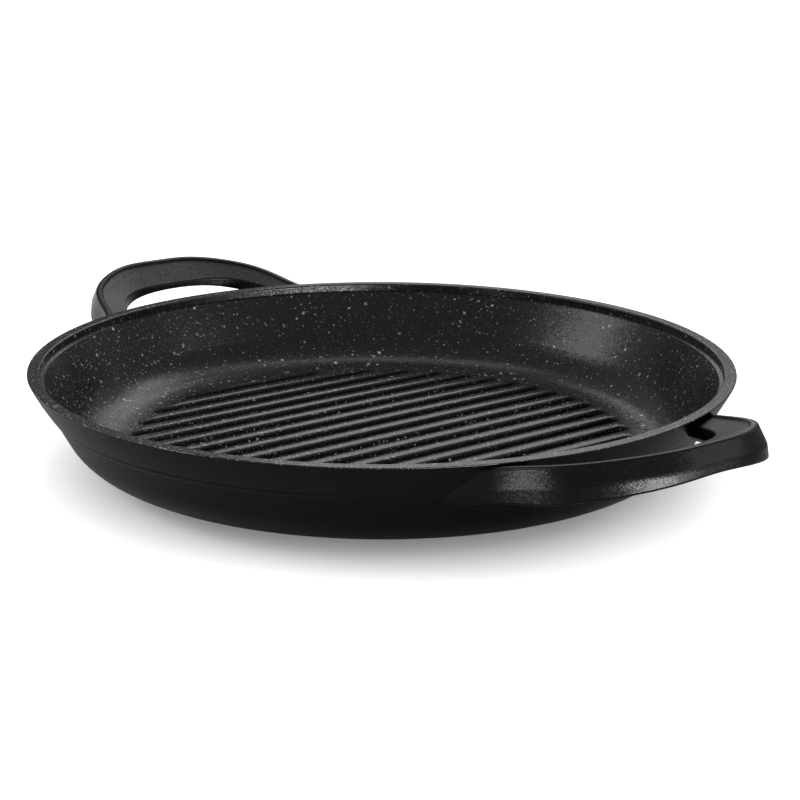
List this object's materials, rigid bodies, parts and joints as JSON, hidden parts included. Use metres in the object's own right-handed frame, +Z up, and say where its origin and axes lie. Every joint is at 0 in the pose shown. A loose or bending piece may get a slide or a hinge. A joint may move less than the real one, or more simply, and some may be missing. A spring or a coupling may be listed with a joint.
{
  "type": "grill pan",
  "caption": "Round shallow griddle pan with a ribbed floor, a speckled non-stick coat and two cast loop handles.",
  "frame": {"origin": "middle of the round base, on the face that the pan stands on", "axes": "+Z up, +X out through the front handle, +Y along the ribs of the floor"},
  "size_m": [0.3662, 0.28, 0.0499],
  "materials": {
    "outer_coat": "cast aluminium under a satin near-black coat with a fine sparkle grain",
    "granite_coat": "satin black non-stick coat with white and grey granite speckles",
    "plate_steel": "brushed stainless steel"
  },
  "bodies": {
    "root": {"pan_body": "outer_coat", "front_handle": "outer_coat", "rear_handle": "outer_coat", "nonstick_coating": "granite_coat", "induction_plate": "plate_steel"}
  },
  "joints": []
}
